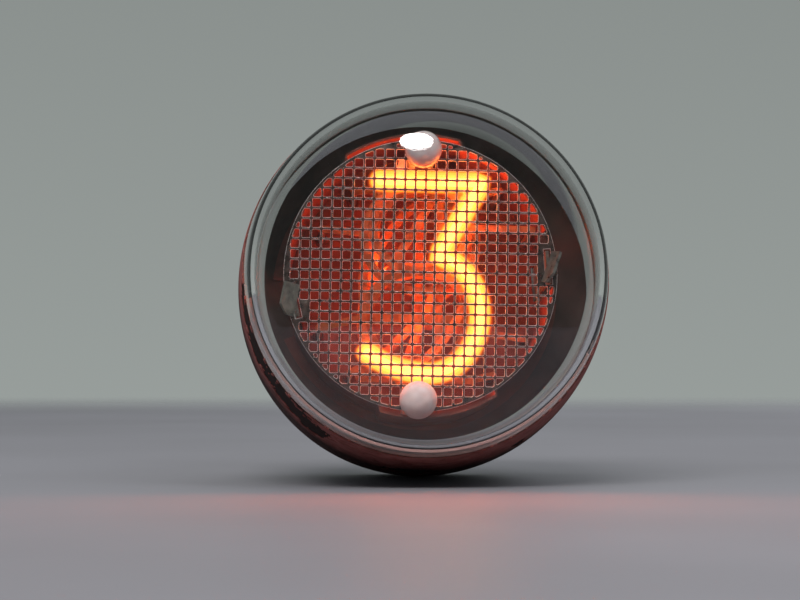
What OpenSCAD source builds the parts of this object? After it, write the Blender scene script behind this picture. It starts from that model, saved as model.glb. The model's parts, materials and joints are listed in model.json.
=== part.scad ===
// End-view neon numeral indicator tube: ten stacked cathodes behind an etched anode mesh.
// The tube lies along Y: its window faces -Y, its pins leave along +Y, and its numerals
// stand upright in Z. The origin is the centre of the seat, the rear face of the glass stem.
// Every piece is drawn about a tube axis that rises from the seat to the window, and
// in_tube() then lays that axis along -Y.

/* [Bulb] */
// Height of the bulb from its seat to the crown of the window
bulb_h = 36; // [35.5:0.5:40]
// Outer diameter of the bulb at its widest
bulb_d = 31; // [30.6:0.1:34]
// Height above the seat at which the bulb is widest
belly_h = 16; // [14:0.5:18]
// Radius of the lengthwise curve of the bulb's side
side_curve_r = 125; // [110:5:200]
// Radius of the domed window
window_curve_r = 42; // [38:1:60]
// Outer radius of the rounded shoulder round the window
shoulder_r = 2.4; // [2:0.1:3]
// Outer radius of the rounded heel round the seat
heel_r = 3; // [2.4:0.1:3.4]
// Thickness of the bulb's glass
glass_t = 1; // [0.8:0.05:1.2]

/* [Lacquer] */
// Thickness of the lacquer on the bulb's side
lacquer_t = 0.08; // [0.06:0.01:0.2]
// Height of the lacquer's front edge above the seat
lacquer_front_h = 30; // [26:0.5:30.5]
// Height of the lacquer's rear edge above the seat
lacquer_rear_h = 3.6; // [3.5:0.1:6]

/* [Stem and pins] */
// Thickness of the glass stem
stem_t = 2.4; // [2:0.1:3.5]
// Diameter of the sealed exhaust tip where it leaves the stem
tip_d = 3.4; // [2.8:0.1:4.4]
// Length of the exhaust tip below the seat
tip_l = 4.2; // [3.4:0.1:5.5]
// Bore of the exhaust tube inside the stem
tip_bore_d = 1.2; // [0.8:0.1:1.5]
// Diameter of the circle that the pins stand on
pin_circle_d = 19; // [18.8:0.05:19.2]
// Number of equal places on the pin circle
pin_places = 14; // [14]
// Place that holds no pin and keys the socket
key_place = 11; // [11]
// Diameter of a pin
pin_d = 1; // [0.9:0.05:1.1]
// Length of a pin below the seat
pin_l = 7.5; // [6.5:0.1:9]
// Length and depth of the chamfer at a pin's end
pin_chamfer = 0.3; // [0.1:0.05:0.35]
// Diameter of the thinner wire by which a pin passes through the glass
seal_wire_d = 0.6; // [0.5:0.05:0.65]
// Diameter of the dimple in the seat round a pin
dimple_d = 1.4; // [1.3:0.05:1.7]
// Depth of that dimple
dimple_depth = 0.15; // [0.1:0.05:0.4]
// Height of that wire's end above the stem
stub_l = 1.4; // [1:0.1:2]
// Diameter of the glass collar round a pin's wire where it meets the stem
collar_d = 2.2; // [1.6:0.1:2.6]
// Height of a glass collar
collar_h = 0.8; // [0.4:0.1:0.9]

/* [Anode mesh] */
// Distance from the crown of the window back to the mesh's rear face
mesh_setback = 6; // [5.5:0.1:7]
// Diameter of the anode mesh
mesh_d = 22; // [21.8:0.1:22.4]
// Thickness of the etched mesh sheet
mesh_t = 0.15; // [0.1:0.05:0.3]
// Distance from one mesh opening to the next
mesh_pitch = 0.834; // [0.8:0.002:1.2]
// How far the middle opening stands sideways from the mesh's middle
opening_off_x = -0.13; // [-0.4:0.01:0.4]
// How far the middle opening stands above the mesh's middle
opening_off_y = -0.2; // [-0.4:0.01:0.4]
// Width of a mesh bar
mesh_bar = 0.17; // [0.12:0.01:0.24]
// Width of the plain rim round the mesh
mesh_rim = 0.24; // [0.15:0.01:0.5]
// Radius of the plain pad round each rod
rod_pad_r = 1.2; // [1:0.05:2.4]

/* [Numerals] */
// Height of a numeral along the middle of its strokes
numeral_h = 15.6; // [15:0.1:16.4]
// Width of a numeral along the middle of its strokes
numeral_w = 9.2; // [8:0.1:9.6]
// Width of a stroke
stroke_w = 0.7; // [0.5:0.05:0.9]
// Thickness of a numeral's sheet
sheet_t = 0.2; // [0.15:0.01:0.3]
// Distance from one numeral to the next along the tube
stack_pitch = 0.85; // [0.75:0.01:0.9]
// Space between the mesh and the foremost numeral
front_gap = 1.2; // [0.8:0.1:1.6]
// Space between the rearmost numeral and the mica disc
rear_gap = 3; // [2:0.1:3.5]
// Width of the lugs that carry a numeral and of the tail that feeds it
lug_w = 0.6; // [0.4:0.05:0.8]

/* [Rods and insulators] */
// Distance of each rod from the middle of the electrode system
rod_r = 10.1; // [9.9:0.05:10.15]
// Diameter of a rod
rod_d = 0.8; // [0.6:0.05:0.9]
// Outer diameter of the eyelets that thread a numeral on its rods
eyelet_d = 1.9; // [1.6:0.05:2]
// Outer diameter of the ceramic spacers
spacer_d = 2.2; // [1.8:0.05:2.3]
// Diameter of the ceramic bead at a rod's front end
bead_d = 3; // [2.6:0.1:3.4]
// Height of a bead's straight foot
bead_foot_h = 0.6; // [0.3:0.1:1]
// Height of a bead's dome above its foot
bead_dome_h = 1.6; // [1.3:0.1:1.9]
// Diameter and thickness of the collar that stops a rod behind the mica
rod_collar_d = 1.8; // [1.4:0.1:2.2]
// Thickness of that collar
rod_collar_t = 0.3; // [0.2:0.05:0.5]

/* [Shield and supports] */
// Inner radius of the shield halves beside the numerals
shield_r = 10.7; // [10.6:0.05:10.8]
// Inner radius of the pocket that clears the insulators
pocket_r = 11.3; // [11.25:0.05:11.5]
// Angle to either side of a rod over which the pocket runs
pocket_half_angle = 26; // [20:1:30]
// Angle to either side of the straps that the shield halves leave open
shield_gap_angle = 12.5; // [12:0.5:14]
// Thickness of the shield sheet
shield_t = 0.2; // [0.15:0.01:0.25]
// Outer radius of the shield's foot flange
flange_r = 12.1; // [12:0.05:12.3]
// Clearance between the edge of the mica disc and the bulb
mica_clear = 0.3; // [0.2:0.05:1]
// Thickness of the mica disc
mica_t = 0.3; // [0.2:0.05:0.4]
// Clearance round a lead or strap where it passes the mica or the mesh
pass_clear = 0.15; // [0.05:0.01:0.2]
// Distance from the mesh's edge in to a strap's inner face
strap_inset = 0.85; // [0.8:0.01:0.9]
// Thickness of a strap
strap_t = 0.25; // [0.2:0.01:0.3]
// Width of a strap in front of the mica
strap_w = 2.6; // [2.2:0.1:2.8]
// Width of a strap's shoulder behind the mica
strap_shoulder_w = 4.2; // [3.8:0.1:5]
// Length of a strap behind the mica
strap_tail_l = 2.8; // [2:0.1:4]
// Length of a lock tab in front of the mesh
tab_l = 1.5; // [1.2:0.1:2]
// Angle by which a lock tab is twisted
tab_twist = 23; // [14:1:26]
// Angle by which the right lock tab leans outward
right_tab_lean = 22; // [15:1:50]
// Angle by which the left lock tab leans outward
left_tab_lean = 50; // [15:1:50]
// Angle round the system by which the right strap stands above its middle
right_strap_turn = 5; // [4:0.5:6]
// Angle round the system by which the left strap stands below its middle
left_strap_turn = 13; // [12:0.5:14]
// Diameter of the anode posts
post_d = 0.6; // [0.5:0.05:0.65]
// Diameter of the cathode leads
lead_d = 0.5; // [0.3:0.05:0.6]
// How far the electrode system stands sideways from the bulb's axis
system_off_x = -0.5; // [-0.5:0.05:0.5]
// How far the electrode system stands above the bulb's axis
system_off_y = -0.05; // [-0.3:0.05:0.3]

/* [Getter] */
// Radius of the getter ring along the middle of its wire
getter_r = 3; // [2.4:0.1:4]
// Diameter of the getter's wire
getter_d = 0.7; // [0.5:0.05:1]
// Height of the getter ring above the seat
getter_h = 9.5; // [8:0.5:10.5]

/* [Hidden] */
$fn = 64;
NUMERALS = [0, 1, 2, 3, 4, 5, 6, 7, 8, 9];
// Numerals from the front of the stack to its rear
STACK = [3, 8, 9, 4, 0, 5, 7, 2, 6, 1];
// Place on the pin circle that feeds each numeral, from 0 to 9
LEAD_PLACES = [6, 13, 12, 4, 8, 5, 9, 3, 1, 2];
GETTER_PLACE = 10;
LEFT_PLACE = 7;
RIGHT_PLACE = 0;
PIN_PLACE_LIST = [for (place = [0:pin_places - 1]) if (place != key_place) place];

function two_digits(n) = n < 10 ? str("0", n) : str(n);
PIN_NODES = [for (i = [1:len(PIN_PLACE_LIST)]) str("pin_", two_digits(i))];
DIGIT_NODES = [for (n = NUMERALS) str("digit_", n)];
LEAD_NODES = [for (n = NUMERALS) str("cathode_lead_", n)];

// Heights above the seat
mesh_h = bulb_h - mesh_setback;
front_sheet_h = mesh_h - front_gap - sheet_t;
rear_sheet_h = front_sheet_h - (len(STACK) - 1) * stack_pitch;
mica_top_h = rear_sheet_h - rear_gap;
mica_h = mica_top_h - mica_t;
strap_foot_h = mica_h - strap_tail_l;
stub_h = stem_t + stub_l;
bead_h = mesh_h + mesh_t;

// Centres of the arcs that make up the bulb's outline, as [radius, height]
belly_centre = [bulb_d / 2 - side_curve_r, belly_h];
window_centre = [0, bulb_h - window_curve_r];
shoulder_centre =
    circles_meet(belly_centre, side_curve_r - shoulder_r, window_centre, window_curve_r - shoulder_r);
heel_centre = [belly_centre.x + sqrt((side_curve_r - heel_r) ^ 2 - (belly_h - heel_r) ^ 2), heel_r];
stem_r = heel_centre.x;

strap_r = mesh_d / 2 - strap_inset;
strap_mid_r = strap_r + strap_t / 2;
shield_reach = 90 - shield_gap_angle;
shield_turn = (right_strap_turn + left_strap_turn) / 2;
opening_w = mesh_pitch - mesh_bar;
slot_w = strap_t + 2 * pass_clear;
slot_l = strap_w + 2 * pass_clear;
opening_reach = ceil(mesh_d / 2 / mesh_pitch);
opening_places = [for (i = [-opening_reach:opening_reach]) i * mesh_pitch];
open_r = mesh_d / 2 - mesh_rim;
half_w = numeral_w / 2;
half_h = numeral_h / 2;
// Least depth of a clipped opening that is still etched
least_opening = 0.2;
// Overlap of solids that are cut from or joined to each other
lap = 0.1;
// How far the round end of a stroke stands out of the stroke's sides
end_margin = 0.01;

// Upper crossing of two circles
function circles_meet(c1, r1, c2, r2) =
    let (
        between = c2 - c1,
        d = norm(between),
        along = (r1 ^ 2 - r2 ^ 2 + d ^ 2) / (2 * d),
        up = sqrt(r1 ^ 2 - along ^ 2),
        ahead = between / d
    )
    c1 + along * ahead + up * [-ahead.y, ahead.x];

function direction(a, b) = atan2(b.y - a.y, b.x - a.x);
function polar(r, a) = r * [cos(a), sin(a)];
function arc(c, rx, ry, a0, a1, steps) =
    [for (i = [0:steps]) let (a = a0 + (a1 - a0) * i / steps) c + [rx * cos(a), ry * sin(a)]];
function round_arc(c, r, a0, a1, steps) = arc(c, r, r, a0, a1, steps);
function reversed(list) = [for (i = [len(list) - 1:-1:0]) list[i]];
// Points of an arc after its first, up to the one before its end or up to its end
function later_arc(c, r, a0, a1, steps, last) =
    [for (i = [1:last]) c + polar(r, a0 + (a1 - a0) * i / steps)];

// Outline of the bulb from its seat to the crown of the window, moved in by a distance
function bulb_outline(inset) =
    let (
        heel_end = direction(belly_centre, heel_centre),
        side_end = direction(belly_centre, shoulder_centre),
        window_start = direction(window_centre, shoulder_centre)
    )
    concat(
        round_arc(heel_centre, heel_r - inset, -90, heel_end, 10),
        later_arc(belly_centre, side_curve_r - inset, heel_end, side_end, 16, 15),
        round_arc(shoulder_centre, shoulder_r - inset, side_end, window_start, 10),
        later_arc(window_centre, window_curve_r - inset, window_start, 90, 12, 12));
function filled_outline(inset) = concat([[0, 0]], bulb_outline(inset));

function place_angle(place) = 360 / pin_places * place;
function pin_xy(place) = polar(pin_circle_d / 2, place_angle(place));
// A pin's place as seen from the middle of the electrode system
function lead_xy(place) = pin_xy(place) - [system_off_x, system_off_y];
function index_of(list, value) = [for (i = [0:len(list) - 1]) if (list[i] == value) i][0];
function sheet_h(n) = front_sheet_h - stack_pitch * index_of(STACK, n);

// Middle lines of each numeral's strokes, in a box from -1 to 1 both ways
function zero_strokes() = [
    arc([0, 0], 1, 1, 0, 180, 24),
    arc([0, 0], 1, 1, 180, 360, 24)];
function one_strokes() = [
    [[0.04, -1], [0.04, 1]],
    [[0.04, 1], [-0.41, 0.72]]];
function two_strokes() =
    let (
        bow_r = 0.58,
        bow = arc([0, 1 - bow_r], 1, bow_r, 170, -32, 20)
    )
    [bow, [bow[20], [-1, -1]], [[-1, -1], [1, -1]]];
function three_strokes() =
    let (
        bowl_x = 0.18,
        bowl_r = 0.615,
        corner = [1.05, 1],
        bowl = arc([bowl_x, bowl_r - 1], 0.89, bowl_r, 81, -90, 24)
    )
    [
        [[-0.73, 1], corner],
        [corner, bowl[0]],
        bowl,
        arc([bowl_x, 0.1], 1.87, 1.1, -90, -125, 8)];
function four_strokes() = [
    [[0.35, -1], [0.35, 1]],
    [[0.35, 1], [-1, -0.41]],
    [[-1, -0.41], [0.96, -0.41]]];
function five_strokes() =
    let (bowl = arc([-0.06, -0.4], 1, 0.6, 140, -150, 24))
    [[[-0.74, 1], [0.89, 1]], [[-0.74, 1], bowl[0]], bowl];
function six_strokes() =
    let (
        bowl_r = 0.564,
        bowl_y = bowl_r - 1,
        stem_x = 0.65
    )
    [
        concat(
            arc([stem_x, bowl_y], 1 + stem_x, 2 - bowl_r, 97, 180, 14),
            arc([0, bowl_y], 1, bowl_r, 189, 360, 19)),
        arc([0, bowl_y], 1, bowl_r, 0, 160, 18)];
function seven_strokes() = [
    [[-1, 1], [1, 1]],
    [[1, 1], [-0.3, -1]]];
function eight_strokes() =
    let (
        waist = 0.07,
        top_w = 0.85,
        top_r = (1 - waist) / 2,
        low_r = (1 + waist) / 2
    )
    [
        arc([0, waist + top_r], top_w, top_r, 0, 180, 18),
        arc([0, waist + top_r], top_w, top_r, 180, 360, 18),
        arc([0, waist - low_r], 1, low_r, 0, 180, 20),
        arc([0, waist - low_r], 1, low_r, 180, 360, 20)];
function nine_strokes() = [for (stroke = six_strokes()) -stroke];

function fitted(path) = [for (p = path) [p.x * half_w, p.y * half_h]];
function numeral_strokes(n) =
    [zero_strokes(), one_strokes(), two_strokes(), three_strokes(), four_strokes(),
        five_strokes(), six_strokes(), seven_strokes(), eight_strokes(), nine_strokes()][n];

// Points of each numeral, in the same box, from which its upper lug, its lower lug and its tail start
function lug_feet(n) = fitted([
    [[0, 1], [0, -1], [-0.863, 0.505]],
    [[0.04, 1], [0.04, -1], [0.04, -0.41]],
    [[0, 1], [0, -1], [1, -1]],
    [[0, 1], [0.18, -1], [-0.46, 1]],
    [[0.35, 1], [0.35, -1], [-1, -0.41]],
    [[0, 1], [-0.06, -1], [-0.74, 1]],
    [[0.446, 0.988], [0, -1], [-0.76, -0.8]],
    [[0, 1], [-0.3, -1], [0.46, 1]],
    [[0, 1], [0, -1], [0.85, 0.535]],
    [[0, 1], [-0.446, -0.988], [0.674, 0.853]]][n]);

module in_tube() rotate([90, 0, 0]) children();
module in_system() in_tube() translate([system_off_x, system_off_y, 0]) children();
module at_xy(p) translate([p.x, p.y, 0]) children();

// Flat ribbon along a path, square at its ends
module ribbon(path, w) {
    last = len(path) - 1;
    headings = [for (i = [0:last]) direction(path[max(i - 1, 0)], path[min(i + 1, last)])];
    left = [for (i = [0:last]) path[i] + polar(w / 2, headings[i] + 90)];
    right = [for (i = [0:last]) path[i] - polar(w / 2, headings[i] + 90)];
    polygon(concat(left, reversed(right)));
}

// Stroke of sheet metal along a path, with round ends a little wider than the stroke
module sheet_stroke(path, w) {
    linear_extrude(sheet_t) ribbon(path, w);
    for (end = [path[0], path[len(path) - 1]])
        at_xy(end) cylinder(d = w + 2 * end_margin, h = sheet_t);
}

module glass_bulb() color([0.86, 0.9, 0.88, 0.35]) in_tube()
    rotate_extrude($fn = 128) polygon(concat(bulb_outline(0), reversed(bulb_outline(glass_t))));

module lacquer_coat() color([0.32, 0.1, 0.09]) in_tube() rotate_extrude($fn = 128) intersection() {
    difference() {
        polygon(filled_outline(-lacquer_t));
        polygon(filled_outline(0));
    }
    translate([0, lacquer_rear_h]) square([bulb_d, lacquer_front_h - lacquer_rear_h]);
}

// Sealed end of the exhaust tube, hanging below the seat
module exhaust_tip() {
    end_r = 0.3 * tip_d;
    rotate_extrude() polygon(concat(
        round_arc([0, end_r - tip_l], end_r, -90, -8, 8),
        [[tip_d / 2, 0], [tip_d / 2, lap], [0, lap]]));
}

module glass_stem() color([0.82, 0.88, 0.87, 0.5]) in_tube() difference() {
    union() {
        cylinder(r = stem_r, h = stem_t);
        exhaust_tip();
        for (place = PIN_PLACE_LIST)
            at_xy(pin_xy(place)) translate([0, 0, stem_t - lap])
                cylinder(d1 = collar_d, d2 = seal_wire_d + 0.4, h = collar_h + lap);
    }
    for (place = PIN_PLACE_LIST)
        at_xy(pin_xy(place)) translate([0, 0, -lap]) {
            cylinder(d = seal_wire_d, h = stub_h + lap);
            cylinder(d = dimple_d, h = dimple_depth + lap);
        }
    translate([0, 0, -tip_l / 2]) cylinder(d = tip_bore_d, h = tip_l / 2 + stem_t + lap);
}

module pin(place) color([0.72, 0.72, 0.7]) in_tube() at_xy(pin_xy(place)) {
    straight_l = pin_l - pin_chamfer;
    cylinder(d = seal_wire_d, h = stub_h);
    translate([0, 0, -straight_l]) cylinder(d = pin_d, h = straight_l);
    translate([0, 0, -pin_l]) cylinder(d1 = pin_d - 2 * pin_chamfer, d2 = pin_d, h = pin_chamfer);
}

// One opening of the mesh, clipped where it meets the plain rim
module mesh_opening(x, y) {
    far_corner = norm([abs(x) + opening_w / 2, abs(y) + opening_w / 2]);
    if (far_corner < open_r)
        translate([x, y]) square(opening_w, center = true);
    else
        intersection() {
            translate([x, y]) square(opening_w, center = true);
            circle(open_r);
        }
}

function turned(p, angle) = [p.x * cos(angle) - p.y * sin(angle), p.y * cos(angle) + p.x * sin(angle)];
function clear_of_slot(p) =
    abs(p.x - strap_mid_r) > (slot_w + opening_w) / 2 || abs(p.y) > (slot_l + opening_w) / 2;
// True where an opening would cut neither a rod's pad nor a strap's slot
function clear_of_passes(x, y) =
    norm([x, abs(y) - rod_r]) > rod_pad_r
    && clear_of_slot(turned([x, y], -right_strap_turn))
    && clear_of_slot(turned([x, y], -180 - left_strap_turn));
function reaches_inside(x, y) =
    norm([max(abs(x) - opening_w / 2, 0), max(abs(y) - opening_w / 2, 0)]) < open_r - least_opening;

// Holes for the two rods and slots for the two straps
module pass_holes() {
    for (side = [-1, 1])
        translate([0, side * rod_r]) circle(d = rod_d);
    for (turn = [right_strap_turn, 180 + left_strap_turn])
        rotate(turn) translate([strap_mid_r, 0]) square([slot_w, slot_l], center = true);
}

module anode_mesh() color([0.62, 0.58, 0.54]) in_system() translate([0, 0, mesh_h])
    linear_extrude(mesh_t) difference() {
        circle(d = mesh_d);
        for (column = opening_places, row = opening_places) {
            x = column + opening_off_x;
            y = row + opening_off_y;
            if (clear_of_passes(x, y) && reaches_inside(x, y)) mesh_opening(x, y);
        }
        pass_holes();
    }

// Half of the shield wall seen end on, centred on an angle: the middle line of its sheet
function shield_path(middle) =
    let (
        slant = 2,
        wall = shield_r + shield_t / 2,
        pocket = pocket_r + shield_t / 2
    )
    concat(
        round_arc([0, 0], wall, middle - shield_reach, middle - pocket_half_angle, 10),
        round_arc([0, 0], pocket, middle - pocket_half_angle + slant, middle + pocket_half_angle - slant, 10),
        round_arc([0, 0], wall, middle + pocket_half_angle, middle + shield_reach, 10));

module shield_half(middle) color([0.5, 0.44, 0.4]) in_system() translate([0, 0, mica_top_h]) {
    linear_extrude(mesh_h - mica_top_h) ribbon(shield_path(middle), shield_t);
    linear_extrude(shield_t)
        polygon(concat(
            shield_path(middle),
            round_arc([0, 0], flange_r, middle + shield_reach, middle - shield_reach, 24)));
}

module rear_mica() color([0.8, 0.74, 0.6, 0.6]) in_tube() translate([0, 0, mica_h])
    linear_extrude(mica_t) difference() {
        circle(r = bulb_d / 2 - glass_t - mica_clear);
        for (n = NUMERALS)
            translate(pin_xy(LEAD_PLACES[n])) circle(d = lead_d + 2 * pass_clear);
        translate([system_off_x, system_off_y]) pass_holes();
    }

// Outline of a lock tab in its own plane, with the corner on one side cut off
module tab_outline(cut_side) polygon([
    [cut_side * strap_w / 2, 0],
    [-cut_side * strap_w / 2, 0],
    [-cut_side * strap_w / 2, tab_l],
    [cut_side * (strap_w - tab_l) / 2, tab_l],
    [cut_side * strap_w / 2, tab_l / 2]]);

// Support strap at an angle round the system: foot on its post, shoulder, blade and twisted lock tab
module strap(turn, place, lean, cut_side) in_system() rotate([0, 0, turn]) {
    blade_l = mesh_h + mesh_t - mica_h;
    post = turned(lead_xy(place), -turn);
    foot_m = 0.8 * post_d;
    translate([strap_r, -strap_shoulder_w / 2, strap_foot_h])
        cube([strap_t, strap_shoulder_w, strap_tail_l]);
    translate([0, 0, strap_foot_h]) linear_extrude(strap_t) polygon([
        [strap_r + strap_t, -strap_shoulder_w / 2],
        [strap_r + strap_t, strap_shoulder_w / 2],
        post + [-foot_m, foot_m],
        post - [foot_m, foot_m]]);
    translate([strap_r, -strap_w / 2, mica_h - lap]) cube([strap_t, strap_w, blade_l + lap]);
    difference() {
        translate([strap_mid_r, 0, mesh_h + mesh_t])
            rotate([0, 0, -tab_twist]) rotate([0, lean, 0]) translate([-strap_t / 2, 0, -lap])
                rotate([90, 0, 90]) linear_extrude(strap_t) tab_outline(cut_side);
        translate([strap_r - strap_w, -strap_w, mesh_h + mesh_t - 1]) cube([2 * strap_w, 2 * strap_w, 1]);
    }
}

module right_strap() color([0.66, 0.62, 0.56])
    strap(right_strap_turn, RIGHT_PLACE, right_tab_lean, -1);
module left_strap() color([0.66, 0.62, 0.56])
    strap(180 + left_strap_turn, LEFT_PLACE, left_tab_lean, 1);

module anode_post(place) color([0.6, 0.6, 0.6]) in_tube()
    at_xy(pin_xy(place)) translate([0, 0, stub_h]) cylinder(d = post_d, h = strap_foot_h - stub_h);

module support_rod(side) color([0.7, 0.7, 0.68]) in_system() translate([0, side * rod_r, 0]) {
    translate([0, 0, mica_h - rod_collar_t]) cylinder(d = rod_collar_d, h = rod_collar_t);
    translate([0, 0, mica_h - rod_collar_t])
        cylinder(d = rod_d, h = bead_h + bead_foot_h + bead_dome_h / 2 - mica_h + rod_collar_t);
}

module spacer(low_h, high_h) translate([0, 0, low_h]) difference() {
    cylinder(d = spacer_d, h = high_h - low_h);
    translate([0, 0, -lap]) cylinder(d = rod_d, h = high_h - low_h + 2 * lap);
}

module spacer_row(side) color([0.92, 0.91, 0.88]) in_system() translate([0, side * rod_r, 0]) {
    spacer(mica_top_h, rear_sheet_h);
    for (i = [0:len(STACK) - 2])
        spacer(rear_sheet_h + i * stack_pitch + sheet_t, rear_sheet_h + (i + 1) * stack_pitch);
    spacer(front_sheet_h + sheet_t, mesh_h);
}

module rod_bead(side) color([0.95, 0.94, 0.92]) in_system() translate([0, side * rod_r, bead_h])
    difference() {
        rotate_extrude() polygon(concat(
            [[0, 0], [bead_d / 2, 0]],
            arc([0, bead_foot_h], bead_d / 2, bead_dome_h, 0, 90, 12)));
        translate([0, 0, -lap]) cylinder(d = rod_d, h = bead_foot_h + bead_dome_h / 2 + lap);
    }

module digit(n) color([0.78, 0.5, 0.34]) in_system() translate([0, 0, sheet_h(n)]) difference() {
    union() {
        for (path = numeral_strokes(n)) sheet_stroke(fitted(path), stroke_w);
        sheet_stroke([lug_feet(n)[0], [0, rod_r]], lug_w);
        sheet_stroke([lug_feet(n)[1], [0, -rod_r]], lug_w);
        sheet_stroke([lug_feet(n)[2], lead_xy(LEAD_PLACES[n])], lug_w);
        for (side = [-1, 1]) translate([0, side * rod_r, 0]) cylinder(d = eyelet_d, h = sheet_t);
    }
    for (side = [-1, 1])
        translate([0, side * rod_r, -lap]) cylinder(d = rod_d, h = sheet_t + 2 * lap);
}

module cathode_lead(n) color([0.68, 0.66, 0.64]) in_tube()
    at_xy(pin_xy(LEAD_PLACES[n])) translate([0, 0, stub_h]) cylinder(d = lead_d, h = sheet_h(n) - stub_h);

module getter_wire() translate([0, 0, getter_h])
    rotate_extrude() translate([getter_r, 0]) circle(d = getter_d, $fn = 24);

module getter_ring() color([0.55, 0.55, 0.55]) in_tube() getter_wire();

// Upright wire from the getter's pin, with an arm welded to the getter ring
module getter_post() color([0.6, 0.6, 0.6]) in_tube() {
    at_xy(pin_xy(GETTER_PLACE)) translate([0, 0, stub_h])
        cylinder(d = lead_d, h = getter_h + lead_d / 2 - stub_h);
    difference() {
        rotate([0, 0, place_angle(GETTER_PLACE)]) translate([getter_r, 0, getter_h]) rotate([0, 90, 0])
            cylinder(d = lead_d, h = pin_circle_d / 2 - getter_r);
        getter_wire();
    }
}

glass_bulb();
glass_stem();
lacquer_coat();
anode_mesh();
shield_half(90 + shield_turn);  // upper_shield
shield_half(shield_turn - 90);  // lower_shield
rear_mica();
left_strap();
right_strap();
anode_post(LEFT_PLACE);  // left_post
anode_post(RIGHT_PLACE);  // right_post
support_rod(1);  // upper_rod
support_rod(-1);  // lower_rod
spacer_row(1);  // upper_spacers
spacer_row(-1);  // lower_spacers
rod_bead(1);  // upper_bead
rod_bead(-1);  // lower_bead
getter_ring();
getter_post();
for (n = NUMERALS) digit(n);
for (n = NUMERALS) cathode_lead(n);
for (i = [0:len(PIN_NODES) - 1]) pin(PIN_PLACE_LIST[i]);
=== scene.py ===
import json
import math

import bmesh
import bpy
from mathutils import Matrix, Vector, noise


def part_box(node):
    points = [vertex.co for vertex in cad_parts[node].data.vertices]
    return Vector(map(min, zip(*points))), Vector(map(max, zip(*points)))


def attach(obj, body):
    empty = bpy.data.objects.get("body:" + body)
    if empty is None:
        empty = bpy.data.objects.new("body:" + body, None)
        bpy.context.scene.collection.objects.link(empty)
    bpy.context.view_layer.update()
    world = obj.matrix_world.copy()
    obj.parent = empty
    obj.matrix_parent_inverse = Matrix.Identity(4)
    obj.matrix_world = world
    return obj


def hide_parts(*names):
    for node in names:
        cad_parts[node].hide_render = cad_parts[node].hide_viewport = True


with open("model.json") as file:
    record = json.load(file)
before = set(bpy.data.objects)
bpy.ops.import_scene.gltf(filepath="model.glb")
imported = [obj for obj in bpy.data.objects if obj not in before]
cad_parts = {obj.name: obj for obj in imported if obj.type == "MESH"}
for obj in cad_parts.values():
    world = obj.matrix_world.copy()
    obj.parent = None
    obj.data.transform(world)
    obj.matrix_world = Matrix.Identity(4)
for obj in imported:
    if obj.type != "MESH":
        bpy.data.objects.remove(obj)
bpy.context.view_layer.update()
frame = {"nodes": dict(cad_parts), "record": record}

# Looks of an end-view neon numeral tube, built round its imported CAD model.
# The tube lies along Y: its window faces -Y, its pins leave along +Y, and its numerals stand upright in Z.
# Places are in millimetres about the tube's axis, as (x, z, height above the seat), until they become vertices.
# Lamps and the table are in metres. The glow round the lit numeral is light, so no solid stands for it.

MM = 0.001


def box_mm(node):
    low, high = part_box(node)
    return low / MM, high / MM


# ---------------------------------------------------------------- sizes

BULB_LOW, BULB_HIGH = box_mm("glass_bulb")
LACQUER_LOW, LACQUER_HIGH = box_mm("lacquer_coat")
MESH_LOW, MESH_HIGH = box_mm("anode_mesh")
THREE_LOW, THREE_HIGH = box_mm("digit_3")

CROWN_H = -BULB_LOW.y
BULB_R = BULB_HIGH.x
BELLY_H = 16
SIDE_CURVE_R = 125
WINDOW_CURVE_R = 42
SHOULDER_R = 2.4
HEEL_R = 3
GLASS_T = 0.6  # thinner than the solid's wall, so that the inner shoulder mirrors what the photo shows
LACQUER_T = LACQUER_HIGH.x - BULB_R
LACQUER_FRONT_H = -LACQUER_LOW.y
LACQUER_REAR_H = -LACQUER_HIGH.y

SYSTEM_X = (MESH_LOW.x + MESH_HIGH.x) / 2
SYSTEM_Z = (MESH_LOW.z + MESH_HIGH.z) / 2
MESH_R = (MESH_HIGH.x - MESH_LOW.x) / 2
MESH_REAR_H = -MESH_HIGH.y
MESH_T = MESH_HIGH.y - MESH_LOW.y
MESH_PITCH = 0.834
OPENING_X, OPENING_Z = -0.13, -0.2
MESH_BAR = 0.17
MESH_RIM = 0.24
BAR_ROUND = 0.045
OPENING_ROUND = 0.1
SLOT_MARGIN = 0.09
CLOSE_CORNERS, CLOSE_POINTS = 0.01, 0.02
ROD_R = 10.1
ROD_D = 0.8
ROD_PAD_R = 1.2
BEAD_R = 1.5
BEAD_FOOT_H, BEAD_DOME_H = 0.6, 1.6
EYELET_IN_R, EYELET_OUT_R, EYELET_T = 0.22, 0.55, 0.09
STRAP_MID_R = 10.275
SLOT_HALF_T = 0.275
SLOT_HALF_W = 1.45
STRAP_TURNS = math.radians(5), math.radians(193)

NUMERAL_HALF_W, NUMERAL_HALF_H = 4.6, 7.8
NUMERAL_H = -(THREE_LOW.y + THREE_HIGH.y) / 2


# ---------------------------------------------------------------- outlines

def polar(radius, angle):
    return Vector((radius * math.cos(angle), radius * math.sin(angle)))


def arc(centre, radius, start, end, steps):
    """Points on a circle from one angle to another, both ends among them."""
    return [Vector(centre) + polar(radius, start + (end - start) * i / steps) for i in range(steps + 1)]


def oval_arc(centre, half_w, half_h, start, end, steps):
    """Points on an oval, from one angle to another in degrees."""
    turned = arc((0, 0), 1, math.radians(start), math.radians(end), steps)
    return [Vector((centre[0] + p.x * half_w, centre[1] + p.y * half_h)) for p in turned]


def upper_crossing(c1, r1, c2, r2):
    """Upper crossing of two circles."""
    between = c2 - c1
    distance = between.length
    along = (r1 ** 2 - r2 ** 2 + distance ** 2) / (2 * distance)
    up = math.sqrt(r1 ** 2 - along ** 2)
    ahead = between / distance
    return c1 + along * ahead + up * Vector((-ahead.y, ahead.x))


def heading(a, b):
    return math.atan2(b.y - a.y, b.x - a.x)


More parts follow.
